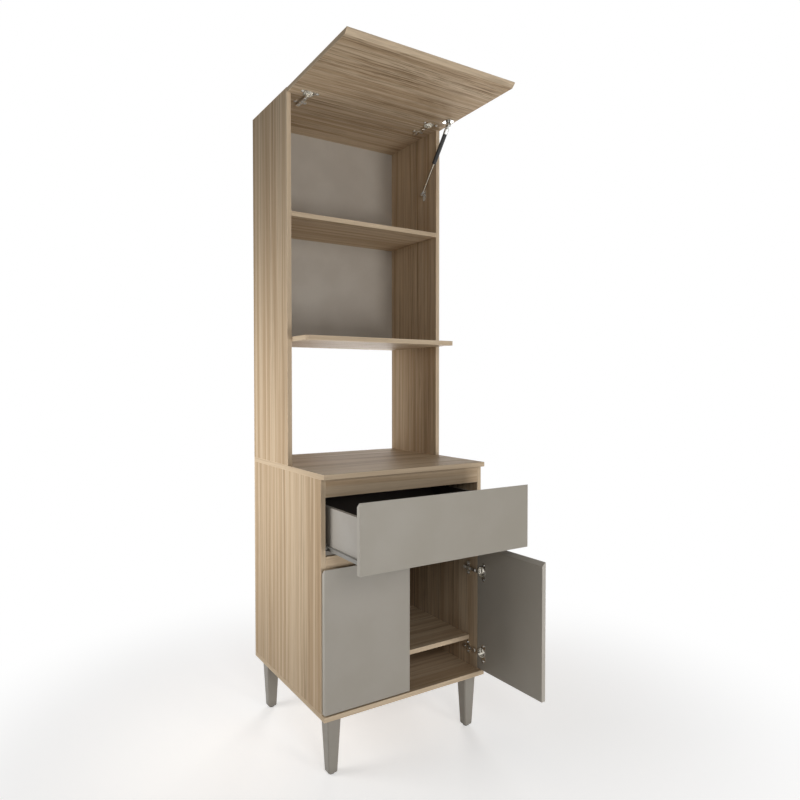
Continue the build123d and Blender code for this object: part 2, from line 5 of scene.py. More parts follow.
import bpy
import numpy as np
from mathutils import Matrix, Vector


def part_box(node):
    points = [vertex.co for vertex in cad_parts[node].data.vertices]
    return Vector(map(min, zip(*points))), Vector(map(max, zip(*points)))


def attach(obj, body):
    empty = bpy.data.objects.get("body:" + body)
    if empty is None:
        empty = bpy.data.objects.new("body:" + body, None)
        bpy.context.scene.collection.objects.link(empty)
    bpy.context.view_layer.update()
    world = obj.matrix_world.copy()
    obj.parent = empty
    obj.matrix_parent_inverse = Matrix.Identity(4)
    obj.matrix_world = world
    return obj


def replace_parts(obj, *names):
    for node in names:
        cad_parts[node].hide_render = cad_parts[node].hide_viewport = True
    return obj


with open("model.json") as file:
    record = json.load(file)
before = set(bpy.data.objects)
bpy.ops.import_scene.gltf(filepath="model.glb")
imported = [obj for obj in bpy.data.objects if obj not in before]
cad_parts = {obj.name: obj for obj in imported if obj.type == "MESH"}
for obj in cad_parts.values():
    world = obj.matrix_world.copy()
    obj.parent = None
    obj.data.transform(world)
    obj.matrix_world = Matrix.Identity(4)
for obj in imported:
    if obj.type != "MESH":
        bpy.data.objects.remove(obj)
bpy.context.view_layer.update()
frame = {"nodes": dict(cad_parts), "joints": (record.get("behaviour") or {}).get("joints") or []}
stand = frame["nodes"]

VECTOR, COLOR, FLOAT = "NodeSocketVector", "NodeSocketColor", "NodeSocketFloat"
SKIN = {"Color": COLOR, "Roughness": FLOAT, "Height": FLOAT}
WHITE, BLACK = (1.0, 1.0, 1.0, 1.0), (0.0, 0.0, 0.0, 1.0)
FULL_TURN = 2 * math.pi

# Places of the hinge pins, with the angle in degrees by which each front is open at rest
RIGHT_DOOR_OPEN, FLAP_OPEN = 91.5, 91.0
DOOR_X, DOOR_Y = 0.291, -0.1365
UPPER_Z, LOWER_Z = 0.533, 0.258
FLAP_X, FLAP_Y, FLAP_Z = 0.234, 0.1045, 2.100
pivots = {
    "left_door_upper": ("left", (-DOOR_X, DOOR_Y, UPPER_Z), 0.0, "left_door"),
    "left_door_lower": ("left", (-DOOR_X, DOOR_Y, LOWER_Z), 0.0, "left_door"),
    "right_door_upper": ("right", (DOOR_X, DOOR_Y, UPPER_Z), RIGHT_DOOR_OPEN, "right_door"),
    "right_door_lower": ("right", (DOOR_X, DOOR_Y, LOWER_Z), RIGHT_DOOR_OPEN, "right_door"),
    "flap_left": ("flap", (-FLAP_X, FLAP_Y, FLAP_Z), FLAP_OPEN, "flap"),
    "flap_right": ("flap", (FLAP_X, FLAP_Y, FLAP_Z), FLAP_OPEN, "flap"),
}


# Small helpers for shader nodes
def tone(red, green, blue):
    """Linear colour of a written colour: each channel over 255, then the standard curve to linear light."""
    share = np.array((red, green, blue)) / 255
    linear = np.where(share <= 0.04045, share / 12.92, ((share + 0.055) / 1.055) ** 2.4)
    return (*(float(value) for value in linear), 1.0)


def add(tree, kind, inputs=None, **settings):
    """A node with its settings; an input is a value, or a socket that is linked to it."""
    item = tree.nodes.new(kind)
    for key, value in settings.items():
        setattr(item, key, value)
    for key, value in (inputs or {}).items():
        if isinstance(value, bpy.types.NodeSocket):
            tree.links.new(value, item.inputs[key])
        else:
            item.inputs[key].default_value = value
    return item


def link_all(tree, inputs, sockets):
    """Link each socket to the input of its name."""
    for key, socket in sockets.items():
        tree.links.new(socket, inputs[key])


def work_out(tree, operation, first, second=0.0):
    """One step of arithmetic on two values."""
    return add(tree, "ShaderNodeMath", {0: first, 1: second}, operation=operation).outputs[0]


def work_out_vector(tree, operation, first, second):
    """One step of arithmetic on two vectors, part by part."""
    return add(tree, "ShaderNodeVectorMath", {0: first, 1: second}, operation=operation).outputs[0]


def parts_of(tree, vector):
    """The three parts of a vector."""
    return add(tree, "ShaderNodeSeparateXYZ", {0: vector}).outputs


def noise(tree, vector, scale, detail=2.0, rough=0.5):
    """A value and a colour of smooth noise, between 0 and 1, at a scale given in features per metre."""
    inputs = {"Vector": vector, "Scale": scale, "Detail": detail, "Roughness": rough}
    return add(tree, "ShaderNodeTexNoise", inputs).outputs


def cloud(tree, vector, scale, detail=2.0, rough=0.5):
    """The value of smooth noise."""
    return noise(tree, vector, scale, detail, rough)[0]


def ramp(tree, value, low, high, start=0.0, end=1.0):
    """A value that goes smoothly from start to end while the input goes from low to high."""
    inputs = {0: value, 1: low, 2: high, 3: start, 4: end}
    return add(tree, "ShaderNodeMapRange", inputs, interpolation_type="SMOOTHSTEP").outputs[0]


def between(tree, low, high, share):
    """A value that lies the given share of the way from low to high."""
    span = work_out(tree, "SUBTRACT", high, low)
    return work_out(tree, "ADD", low, work_out(tree, "MULTIPLY", span, share))


def blend_color(tree, factor, first, second):
    """Two colours blended by a factor."""
    return add(tree, "ShaderNodeMix", {0: factor, 6: first, 7: second}, data_type="RGBA").outputs[2]


def edge_gaps(tree, vector, low, high):
    """Distances of a point inside a box to the nearer face along each axis."""
    above = work_out_vector(tree, "SUBTRACT", vector, low)
    below = work_out_vector(tree, "SUBTRACT", high, vector)
    return parts_of(tree, work_out_vector(tree, "MINIMUM", above, below))


def effect(name, inputs, outputs):
    """An empty node group with named sockets, and its two end nodes."""
    tree = bpy.data.node_groups.new(name, "ShaderNodeTree")
    for label, kind in inputs.items():
        tree.interface.new_socket(label, in_out="INPUT", socket_type=kind)
    for label, kind in outputs.items():
        tree.interface.new_socket(label, in_out="OUTPUT", socket_type=kind)
    return tree, tree.nodes.new("NodeGroupInput").outputs, tree.nodes.new("NodeGroupOutput").inputs


# Oak figure: features per metre along and across the grain, and the limits of each mask
BANDS = {"along": 0.6, "across": 54.0, "low": 0.36, "high": 0.64}
STREAKS = {"along": 1.5, "across": 150.0, "low": 0.46, "high": 0.70, "detail": 3.0, "rough": 0.6}
DASHES = {"along": 4.5, "across": 330.0, "low": 0.50, "high": 0.68, "rough": 0.6}
FLAMES = {"along": 0.9, "across": 13.0, "low": 0.42, "high": 0.66, "detail": 1.0, "start": 0.5}
PORES = {"along": 14.0, "across": 850.0, "low": 0.52, "high": 0.72}
WANDER_SCALE, WANDER_REACH = (1.3, 5.0, 5.0), (0.0, 0.012, 0.012)
END_FACING = 0.7
DASH_SHARE, PORE_SHARE, BAND_HEIGHT = 0.7, 0.16, 0.3
OAK_SMOOTH, OAK_ROUGH = 0.56, 0.70


# Effects that several finishes share
def grain_layer(tree, grain, along, across, low, high, detail=2.0, rough=0.5, start=0.0):
    """One layer of the oak figure: noise drawn out along the grain and cut to a soft mask."""
    drawn = work_out_vector(tree, "MULTIPLY", grain, (along, across, across))
    return ramp(tree, cloud(tree, drawn, 1.0, detail, rough), low, high, start)


def make_oak_grain():
    """Straight oak figure along x: bands, streaks, dashes, flames and pores that wander a little.

    On the ends of a board, where the normal runs along the grain, x and y change places, as on an edge strip.
    """
    sockets = {"Vector": VECTOR, "Normal": VECTOR, "Pale": COLOR, "Warm": COLOR, "Dark": COLOR,
               "Figure": FLOAT}
    tree, given, result = effect("oak_grain", sockets, SKIN)
    facing = work_out(tree, "ABSOLUTE", parts_of(tree, given["Normal"])[0])
    end = work_out(tree, "GREATER_THAN", facing, END_FACING)
    x, y, z = parts_of(tree, given["Vector"])
    swapped = add(tree, "ShaderNodeCombineXYZ", {0: y, 1: x, 2: z}).outputs[0]
    inputs = {0: end, 4: given["Vector"], 5: swapped}
    along = add(tree, "ShaderNodeMix", inputs, data_type="VECTOR").outputs[1]
    wander = noise(tree, work_out_vector(tree, "MULTIPLY", along, WANDER_SCALE), 1.0)[1]
    centred = work_out_vector(tree, "SUBTRACT", wander, (0.5, 0.5, 0.5))
    grain = work_out_vector(tree, "ADD", along, work_out_vector(tree, "MULTIPLY", centred, WANDER_REACH))
    band = grain_layer(tree, grain, **BANDS)
    streak = grain_layer(tree, grain, **STREAKS)
    dash = grain_layer(tree, grain, **DASHES)
    flame = grain_layer(tree, grain, **FLAMES)
    pore = grain_layer(tree, grain, **PORES)
    lines = work_out(tree, "MAXIMUM", streak, work_out(tree, "MULTIPLY", dash, DASH_SHARE))
    dark = work_out(tree, "MULTIPLY", work_out(tree, "MULTIPLY", lines, flame), given["Figure"])
    body = blend_color(tree, band, given["Pale"], given["Warm"])
    lined = blend_color(tree, dark, body, given["Dark"])
    color = blend_color(tree, work_out(tree, "MULTIPLY", pore, PORE_SHARE), lined, given["Dark"])
    open_grain = work_out(tree, "ADD", streak, pore)
    rough = ramp(tree, open_grain, low=0.0, high=1.6, start=OAK_SMOOTH, end=OAK_ROUGH)
    height = work_out(tree, "SUBTRACT", work_out(tree, "MULTIPLY", band, BAND_HEIGHT), pore)
    link_all(tree, result, {"Color": color, "Roughness": rough, "Height": height})
    return tree


def make_edge_wear_and_highlight():
    """Light wear and painted highlight along the edges of a box.

    It is a mask of the middle one of the three distances to the box's faces, broken up by noise.
    """
    sockets = {"Vector": VECTOR, "Low": VECTOR, "High": VECTOR, "Reach": FLOAT}
    tree, given, result = effect("edge_wear_and_highlight", sockets, {"Mask": FLOAT})
    gaps = edge_gaps(tree, given["Vector"], given["Low"], given["High"])
    less = work_out(tree, "MINIMUM", gaps[0], gaps[1])
    more = work_out(tree, "MAXIMUM", gaps[0], gaps[1])
    middle = work_out(tree, "MAXIMUM", less, work_out(tree, "MINIMUM", more, gaps[2]))
    share = work_out(tree, "DIVIDE", middle, given["Reach"])
    line = ramp(tree, share, low=0.35, high=1.0, start=1.0, end=0.0)
    patch = ramp(tree, cloud(tree, given["Vector"], scale=24.0, detail=3.0), low=0.30, high=0.62, start=0.35)
    link_all(tree, result, {"Mask": work_out(tree, "MULTIPLY", line, patch)})
    return tree


def make_mottle():
    """Soft cloudiness, a fine skin and small specks: three sizes of noise, the coarse one a hand wide."""
    sockets = {"Vector": VECTOR, "First": COLOR, "Second": COLOR, "Low": FLOAT, "High": FLOAT, "Grain": FLOAT}
    tree, given, result = effect("mottle", sockets, SKIN)
    soft = ramp(tree, cloud(tree, given["Vector"], scale=9.0, detail=3.0), low=0.3, high=0.7)
    fine = cloud(tree, given["Vector"], given["Grain"])
    speck = ramp(tree, cloud(tree, given["Vector"], scale=310.0, detail=1.0), low=0.62, high=0.74)
    color = blend_color(tree, work_out(tree, "MAXIMUM", soft, speck), given["First"], given["Second"])
    share = ramp(tree, work_out(tree, "ADD", soft, fine), low=0.4, high=1.6)
    rough = between(tree, given["Low"], given["High"], share)
    link_all(tree, result, {"Color": color, "Roughness": rough, "Height": fine})
    return tree


LINE_SCALE = (60.0, 2600.0, 2600.0)
SPOT_TINT, LINE_DULLING = 0.8, 0.6


def make_drawn_lines():
    """Lines that rolling or plating leaves in metal: noise drawn out along x, with a few dull spots."""
    sockets = {"Vector": VECTOR, "Bright": COLOR, "Dull": COLOR, "Low": FLOAT, "High": FLOAT}
    tree, given, result = effect("drawn_lines", sockets, SKIN)
    line = cloud(tree, work_out_vector(tree, "MULTIPLY", given["Vector"], LINE_SCALE), 1.0)
    spot = ramp(tree, cloud(tree, given["Vector"], scale=130.0, detail=3.0), low=0.50, high=0.72)
    color = blend_color(tree, work_out(tree, "MULTIPLY", spot, SPOT_TINT), given["Bright"], given["Dull"])
    dulled = work_out(tree, "ADD", work_out(tree, "MULTIPLY", line, LINE_DULLING), spot)
    rough = between(tree, given["Low"], given["High"], ramp(tree, dulled, low=0.15, high=1.2))
    link_all(tree, result, {"Color": color, "Roughness": rough, "Height": line})
    return tree


NAIL_STEP, NAIL_INSET = 0.1, 0.0075
NAIL_RADIUS, NAIL_RIM = 0.0016, 0.0021


def make_nail_row():
    """Nail heads round a sheet: dots at even steps along a line inside its four edges."""
    sockets = {"Vector": VECTOR, "Low": VECTOR, "High": VECTOR}
    tree, given, result = effect("nail_row", sockets, {"Mask": FLOAT})
    edge = edge_gaps(tree, given["Vector"], given["Low"], given["High"])
    spot = parts_of(tree, given["Vector"])
    dots = []
    for step, side in ((spot[0], edge[2]), (spot[2], edge[0])):
        along = work_out(tree, "PINGPONG", step, NAIL_STEP / 2)
        inward = work_out(tree, "ABSOLUTE", work_out(tree, "SUBTRACT", side, NAIL_INSET))
        squares = [work_out(tree, "POWER", gap, 2.0) for gap in (along, inward)]
        far = work_out(tree, "SQRT", work_out(tree, "ADD", *squares))
        dots.append(ramp(tree, far, NAIL_RADIUS, NAIL_RIM, start=1.0, end=0.0))
    link_all(tree, result, {"Mask": work_out(tree, "MAXIMUM", *dots)})
    return tree


oak_grain = make_oak_grain()
edge_wear_and_highlight = make_edge_wear_and_highlight()
mottle = make_mottle()
drawn_lines = make_drawn_lines()
nail_row = make_nail_row()

# Finishes
FACE_LIMIT, SIDE_LIMIT = 0.85, 0.5
SKIN_DEPTH = 0.0003
LACQUER_GRAIN, FITTING_GRAIN = 780.0, 900.0
LACQUER_BUMP = 0.05
OAK_PALE, OAK_WARM = tone(213, 192, 164), tone(191, 166, 136)
OAK_DARK, OAK_EDGE_BAND_AND_HIGHLIGHT = tone(108, 85, 59), tone(221, 202, 175)
# Edge tones and shares: a paler edge band on oak, light wear, and painted highlight on the edges.
OAK_EDGE_BAND_AND_HIGHLIGHT_SHARE, OAK_WEAR_AND_HIGHLIGHT_SHARE, OAK_WEAR_AND_HIGHLIGHT_REACH = 0.5, 0.75, 0.0016
LACQUER_HIGHLIGHT_AND_WEAR = tone(192, 187, 177)
LACQUER_EDGE_HIGHLIGHT_SHARE, LACQUER_WEAR_AND_HIGHLIGHT_SHARE, LACQUER_WEAR_AND_HIGHLIGHT_REACH = 0.45, 0.55, 0.0014
FIBRE_SCALE = (9.0, 9.0, 9.0)
NAIL_TONE, NAIL_POLISH = tone(150, 150, 148), 0.4


def finish(name):
    """An empty material with its surface shader and its coordinates."""
    material = bpy.data.materials.new(name)
    material.use_nodes = True
    tree = material.node_tree
    shader = next(item for item in tree.nodes if item.type == "BSDF_PRINCIPLED")
    return material, tree, shader, tree.nodes.new("ShaderNodeTexCoord").outputs


def filled(tree, group, inputs):
    """A shared effect placed in a material with its own values."""
    return add(tree, "ShaderNodeGroup", inputs, node_tree=group).outputs


def mottled(tree, vector, first, second, low, high, grain):
    """Mottle in two tones, with its least and greatest roughness and its grain in features per metre."""
    inputs = {"Vector": vector, "First": first, "Second": second, "Low": low, "High": high, "Grain": grain}
    return filled(tree, mottle, inputs)


def surface(tree, shader, color, roughness, height, strength, depth):
    """Link a colour, a roughness and a bump from a height onto the shader."""
    bump = add(tree, "ShaderNodeBump", {"Height": height, "Strength": strength, "Distance": depth})
    link_all(tree, shader.inputs, {"Base Color": color, "Roughness": roughness, "Normal": bump.outputs[0]})


def own_box(name, angle=0.0):
    """Low and high corners of a board: the least and greatest of its points, turned about z by an angle."""
    points = np.empty(len(stand[name].data.vertices) * 3)
    stand[name].data.vertices.foreach_get("co", points)
    cosine, sine = math.cos(angle), math.sin(angle)
    turn = np.array(((cosine, -sine, 0.0), (sine, cosine, 0.0), (0.0, 0.0, 1.0)))
    own = points.reshape(-1, 3) @ turn.T
    return tuple(own.min(axis=0)), tuple(own.max(axis=0))


def edge_strip(tree, normal, thin_axis):
    """1 on every face of a board that doesn't look along its thin way, and 0 on its two large faces."""
    across = work_out(tree, "ABSOLUTE", parts_of(tree, normal)[thin_axis])
    return work_out(tree, "LESS_THAN", across, FACE_LIMIT)


def oak(name, turn, offset, dark_share, shorter):
    """Light oak laminate on one board, with the grain turned along it and moved so that no two boards match.

    The figure is made shorter along the grain by a factor. The edge strips are paler, partly as a paler edge
    band and partly as painted highlight, and the edges carry light wear mixed with painted highlight.
    """
    material, tree, shader, at = finish(f"oak_{name}")
    moved = add(tree, "ShaderNodeMapping", {"Vector": at["Object"], "Location": offset, "Rotation": turn})
    normal = add(tree, "ShaderNodeMapping", {"Vector": at["Normal"], "Rotation": turn}, vector_type="VECTOR")
    drawn = work_out_vector(tree, "MULTIPLY", moved.outputs[0], (shorter, 1.0, 1.0))
    tones = {"Pale": OAK_PALE, "Warm": OAK_WARM, "Dark": OAK_DARK, "Figure": dark_share}
    grain = filled(tree, oak_grain, {"Vector": drawn, "Normal": normal.outputs[0], **tones})
    low, high = own_box(name)
    strip = edge_strip(tree, at["Normal"], int(np.argmin(np.subtract(high, low))))
    # Edge strips: partly a paler edge band, partly painted highlight.
    banded_and_highlit = blend_color(tree, work_out(tree, "MULTIPLY", strip, OAK_EDGE_BAND_AND_HIGHLIGHT_SHARE), grain["Color"], OAK_EDGE_BAND_AND_HIGHLIGHT)
    # Light wear mixed with painted highlight along the board's edges.
    wear_and_highlight = filled(tree, edge_wear_and_highlight, {"Vector": at["Object"], "Low": low, "High": high, "Reach": OAK_WEAR_AND_HIGHLIGHT_REACH})
    edges_worn_and_highlit = blend_color(tree, work_out(tree, "MULTIPLY", wear_and_highlight["Mask"], OAK_WEAR_AND_HIGHLIGHT_SHARE), banded_and_highlit, OAK_EDGE_BAND_AND_HIGHLIGHT)
    surface(tree, shader, edges_worn_and_highlit, grain["Roughness"], grain["Height"], strength=0.16, depth=0.0004)
    shader.inputs["Specular IOR Level"].default_value = 0.03
    return material


def lacquer(name, first, second, angle=0.0):
    """Warm grey satin lacquer on a front, with painted highlight on its edge strips and light wear mixed with
    painted highlight along its edges.

    Both are found in the front's shut position, to which its points and normals are turned by an angle.
    """
    material, tree, shader, at = finish(f"lacquer_{name}")
    skin = mottled(tree, at["Object"], first, second, low=0.45, high=0.50, grain=LACQUER_GRAIN)
    turn = (0.0, 0.0, angle)
    own = add(tree, "ShaderNodeMapping", {"Vector": at["Object"], "Rotation": turn})
    facing = add(tree, "ShaderNodeMapping", {"Vector": at["Normal"], "Rotation": turn}, vector_type="VECTOR")
    low, high = own_box(name, angle)
    inputs = {"Vector": own.outputs[0], "Low": low, "High": high, "Reach": LACQUER_WEAR_AND_HIGHLIGHT_REACH}
    # Light wear mixed with painted highlight along the front's edges.
    worn_and_highlit_mask = work_out(tree, "MULTIPLY", filled(tree, edge_wear_and_highlight, inputs)["Mask"], LACQUER_WEAR_AND_HIGHLIGHT_SHARE)
    # Painted highlight on the edge strips.
    strip = work_out(tree, "MULTIPLY", edge_strip(tree, facing.outputs[0], 1), LACQUER_EDGE_HIGHLIGHT_SHARE)
    edges_worn_and_highlit = blend_color(tree, work_out(tree, "MAXIMUM", worn_and_highlit_mask, strip), skin["Color"], LACQUER_HIGHLIGHT_AND_WEAR)
    surface(tree, shader, edges_worn_and_highlit, skin["Roughness"], skin["Height"], LACQUER_BUMP, SKIN_DEPTH)
    return material


def leg_lacquer():
    """Warm grey lacquer on the legs, darker towards the floor."""
    material, tree, shader, at = finish("lacquer_legs")
    tones = {"first": tone(153, 148, 139), "second": tone(149, 143, 134)}
    skin = mottled(tree, at["Object"], **tones, low=0.38, high=0.50, grain=LACQUER_GRAIN)
    height = parts_of(tree, at["Object"])[2]
    # The legs grow darker over the last few centimetres above the floor.
    floor_darkening = ramp(tree, height, low=0.004, high=0.035, start=0.35, end=0.0)
    darkened_towards_floor = blend_color(tree, floor_darkening, skin["Color"], tone(120, 115, 106))
    surface(tree, shader, darkened_towards_floor, skin["Roughness"], skin["Height"], LACQUER_BUMP, SKIN_DEPTH)
    return material


def skinned(name, first, second, low, high, grain, bump, coat=0.0):
    """A plain finish with soft cloudiness, for nylon, plastic, black enamel, painted steel, or the drawer's
    dark board, whose darkness is partly painted shade.
    """
    material, tree, shader, at = finish(name)
    skin = mottled(tree, at["Object"], first, second, low, high, grain)
    surface(tree, shader, skin["Color"], skin["Roughness"], skin["Height"], bump, SKIN_DEPTH)
    shader.inputs["Coat Weight"].default_value = coat
    return material


def plated(name, bright, dull, low, high):
    """Plated or drawn steel with fine lines, between a least and a greatest roughness."""
    material, tree, shader, at = finish(name)
    inputs = {"Vector": at["Object"], "Bright": bright, "Dull": dull, "Low": low, "High": high}
    lines = filled(tree, drawn_lines, inputs)
    surface(tree, shader, lines["Color"], lines["Roughness"], lines["Height"], strength=0.08, depth=0.0002)
    shader.inputs["Metallic"].default_value = 1.0
    return material


def back_sheet(name):
    """Hardboard back: a pale painted face towards the shelves, toned down in part as painted shade, with bare
    brown fibre and nail heads behind.
    """
    material, tree, shader, at = finish(f"sheet_{name}")
    # The face's tone is the sheet's own pale grey, partly darkened as painted shade.
    paint_and_shade = {"first": tone(180, 173, 162), "second": tone(174, 166, 155)}
    front = mottled(tree, at["Object"], **paint_and_shade, low=0.50, high=0.62, grain=620.0)
    finer = work_out_vector(tree, "MULTIPLY", at["Object"], FIBRE_SCALE)
    brown = {"first": tone(150, 115, 80), "second": tone(141, 106, 73)}
    fibre = mottled(tree, finer, **brown, low=0.70, high=0.88, grain=420.0)
    behind = work_out(tree, "GREATER_THAN", parts_of(tree, at["Normal"])[1], SIDE_LIMIT)
    low, high = own_box(name)
    nails = filled(tree, nail_row, {"Vector": at["Object"], "Low": low, "High": high})
    dots = work_out(tree, "MULTIPLY", nails["Mask"], behind)
    bare = blend_color(tree, behind, front["Color"], fibre["Color"])
    color = blend_color(tree, dots, bare, NAIL_TONE)
    dull = add(tree, "ShaderNodeMix", {0: behind, 2: front["Roughness"], 3: fibre["Roughness"]}).outputs[0]
    rough = work_out(tree, "SUBTRACT", dull, work_out(tree, "MULTIPLY", dots, NAIL_POLISH))
    height = work_out(tree, "ADD", work_out(tree, "MULTIPLY", fibre["Height"], behind), dots)
    surface(tree, shader, color, rough, height, strength=0.3, depth=0.0006)
    link_all(tree, shader.inputs, {"Metallic": dots})
    return material


def drawer_wall(name, inner_axis, inner_sign):
    """Drawer board: warm grey laminate outside, and on the face that looks into the drawer a dark lining,
    partly dark board and partly painted shade.
    """
    material, tree, shader, at = finish(f"drawer_{name}")
    grey = {"first": tone(170, 165, 157), "second": tone(164, 158, 149)}
    outer = mottled(tree, at["Object"], **grey, low=0.40, high=0.52, grain=700.0)
    # Inner face: dark board, its darkness partly painted shade inside the drawer.
    dark = {"first": tone(64, 56, 49), "second": tone(54, 47, 41)}
    lining_with_painted_shade = mottled(tree, at["Object"], **dark, low=0.52, high=0.66, grain=520.0)
    facing = work_out(tree, "MULTIPLY", parts_of(tree, at["Normal"])[inner_axis], inner_sign)
    inside = work_out(tree, "GREATER_THAN", facing, SIDE_LIMIT)
    color = blend_color(tree, inside, outer["Color"], lining_with_painted_shade["Color"])
    surface(tree, shader, color, outer["Roughness"], outer["Height"], strength=0.06, depth=SKIN_DEPTH)
    return material


def dress(material, *names):
    """Put a finish on every material slot of the named nodes."""
    for name in names:
        mesh = stand[name].data
        for index in range(len(mesh.materials)):
            mesh.materials[index] = material


# Oak boards: turn of the grain, place in the figure, share of dark figure, and how much shorter the figure is
UPRIGHT, LEVEL = (0.0, math.pi / 2, 0.0), (0.0, 0.0, 0.0)
boards = {
    "left_lower_side": (UPRIGHT, (0.31, 0.113, 0.071), 0.40, 1.0),
    "right_lower_side": (UPRIGHT, (1.67, 0.921, 0.313), 0.60, 1.2),
    "left_upper_side": (UPRIGHT, (2.43, 0.377, 0.529), 0.40, 1.0),
    "right_upper_side": (UPRIGHT, (3.19, 1.531, 0.617), 0.60, 1.2),
    "bottom_panel": (LEVEL, (0.83, 0.271, 0.447), 0.45, 1.6),
    "worktop": (LEVEL, (1.29, 0.733, 0.883), 0.55, 1.6),
    # The top rail gets a smaller share of dark figure, so it reads paler: painted light against its shade
    # under the worktop.
    "top_rail": (LEVEL, (4.17, 1.337, 1.129), 0.25, 1.6),
    "middle_rail": (LEVEL, (5.41, 1.911, 1.373), 0.55, 1.6),
    "top_panel": (LEVEL, (6.07, 2.131, 1.741), 0.70, 2.0),
    "niche_shelf": (LEVEL, (7.23, 2.657, 2.069), 0.60, 1.6),
    "microwave_shelf": (LEVEL, (8.59, 3.119, 2.383), 0.60, 1.6),
    "inner_shelf": (LEVEL, (9.31, 3.613, 2.711), 0.60, 1.6),
    "flap": (LEVEL, (10.47, 4.273, 3.167), 0.9, 2.6),
}
for board_name, board_look in boards.items():
    dress(oak(board_name, *board_look), board_name)

# Fronts, legs, backs and drawer boards
DOOR_TONES = tone(164, 158, 148), tone(161, 155, 144)
# The drawer front's tones are the doors' lacquer made darker, as painted shade.
DRAWER_SHADED_TONES = tone(153, 147, 136), tone(150, 144, 132)
dress(lacquer("left_door", *DOOR_TONES), "left_door")
dress(lacquer("right_door", *DOOR_TONES, math.radians(-RIGHT_DOOR_OPEN)), "right_door")
dress(lacquer("drawer_front", *DRAWER_SHADED_TONES), "drawer_front")
dress(leg_lacquer(), "front_left_leg", "front_right_leg", "rear_left_leg", "rear_right_leg")
for sheet_name in ("upper_back", "lower_back"):
    dress(back_sheet(sheet_name), sheet_name)
for wall_name, axis, sign in (("left_side", 0, 1.0), ("right_side", 0, -1.0), ("back", 1, -1.0)):
    dress(drawer_wall(f"drawer_{wall_name}", axis, sign), f"drawer_{wall_name}")
# Drawer bottom: dark board, its darkness partly painted shade inside the drawer.
drawer_sheet = skinned("drawer_sheet", tone(62, 55, 49), tone(52, 46, 41), low=0.55, high=0.70,
                       grain=480.0, bump=0.08)
dress(drawer_sheet, "drawer_bottom")

# Metal and plastic fittings
nickel = plated("nickel", tone(236, 233, 226), tone(196, 192, 184), low=0.24, high=0.40)
zinc = plated("zinc", tone(214, 214, 211), tone(168, 168, 165), low=0.24, high=0.42)
# The strut rod's chrome is tinted warm and darker, as a painted reflection of the wood round it.
chrome_with_painted_reflection = plated("chrome_with_painted_reflection", tone(172, 163, 148), tone(140, 131, 117), low=0.08, high=0.18)
slide_paint = skinned("slide_paint", tone(138, 136, 131), tone(128, 126, 120), low=0.34, high=0.46,
                      grain=FITTING_GRAIN, bump=0.06)
nylon = skinned("nylon", tone(226, 224, 216), tone(216, 213, 204), low=0.40, high=0.52,
                grain=FITTING_GRAIN, bump=0.05)
enamel = skinned("black_enamel", tone(30, 29, 29), tone(24, 24, 24), low=0.28, high=0.40,
                 grain=FITTING_GRAIN, bump=0.06, coat=0.2)
glide_plastic = skinned("glide_plastic", tone(104, 100, 94), tone(94, 90, 84), low=0.55, high=0.70,
                        grain=640.0, bump=0.12)
for hinge in pivots:
    dress(nickel, f"{hinge}_cup", f"{hinge}_arm")
dress(nickel, "hinge_plates")
dress(zinc, "left_door_screws", "right_door_screws", "flap_screws", "hinge_plate_screws", "leg_bolts")
dress(zinc, "shelf_pins", "strut_top_end", "strut_rod_end", "strut_flap_bracket", "strut_side_bracket")
dress(slide_paint, "left_channel", "right_channel", "left_runner", "right_runner")
dress(nylon, "left_front_roller", "right_front_roller", "left_rear_roller", "right_rear_roller")
dress(enamel, "strut_cylinder")
dress(chrome_with_painted_reflection, "strut_rod")
dress(glide_plastic, "foot_glides")


# Surfaces for the small fittings
def put_in_scene(name, data):
    """A new object in the scene."""
    item = bpy.data.objects.new(name, data)
    bpy.context.scene.collection.objects.link(item)
    return item


def grid_faces(rows, columns, start, looped):
    """Faces of a grid of points that closes round its columns.

    A looped grid also closes from its last row to its first; any other one gets a flat face at both ends.
    """
    row, column = np.meshgrid(np.arange(rows if looped else rows - 1), np.arange(columns), indexing="ij")
    this_row, next_row = row * columns, (row + 1) % rows * columns
    next_column = (column + 1) % columns
    corners = (this_row + column, this_row + next_column, next_row + next_column, next_row + column)
    quads = (np.stack(corners, axis=-1).reshape(-1, 4) + start).tolist()
    ring = start + np.arange(columns)
    return quads if looped else quads + [ring[::-1].tolist(), (ring + (rows - 1) * columns).tolist()]


def piece(name, shells, material, body):
    """One object made of shells, each a closed grid of points, that rides on a body of the stand.

    A shell whose last row of points is its first one again is a ring, and is joined there.
    """
    points, faces, start = [], [], 0
    for shell in shells:
        looped = np.allclose(shell[0], shell[-1])
        shell = shell[:-1] if looped else shell
        rows, columns = shell.shape[:2]
        points.append(shell.reshape(-1, 3))
        faces += grid_faces(rows, columns, start, looped)
        start += rows * columns
    mesh = bpy.data.meshes.new(name)
    mesh.from_pydata(np.concatenate(points).tolist(), [], faces)
    mesh.polygons.foreach_set("use_smooth", np.ones(len(mesh.polygons), dtype=bool))
    mesh.materials.append(material)
    item = put_in_scene(name, mesh)
    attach(item, body)
    return item


def seat_axes(normal, near):
    """Two unit directions square to a normal, the first nearest to a given one, and the unit normal."""
    normal = np.asarray(normal, dtype=float) / np.linalg.norm(normal)
    first = np.asarray(near, dtype=float) - normal * np.dot(near, normal)
    first /= np.linalg.norm(first)
    return first, np.cross(normal, first), normal


def circle(first, second, count):
    """Even angles once round, and the unit direction at each, from a first square direction to a second."""
    angle = np.linspace(0.0, FULL_TURN, count, endpoint=False)
    return angle, np.cos(angle)[:, None] * first + np.sin(angle)[:, None] * second


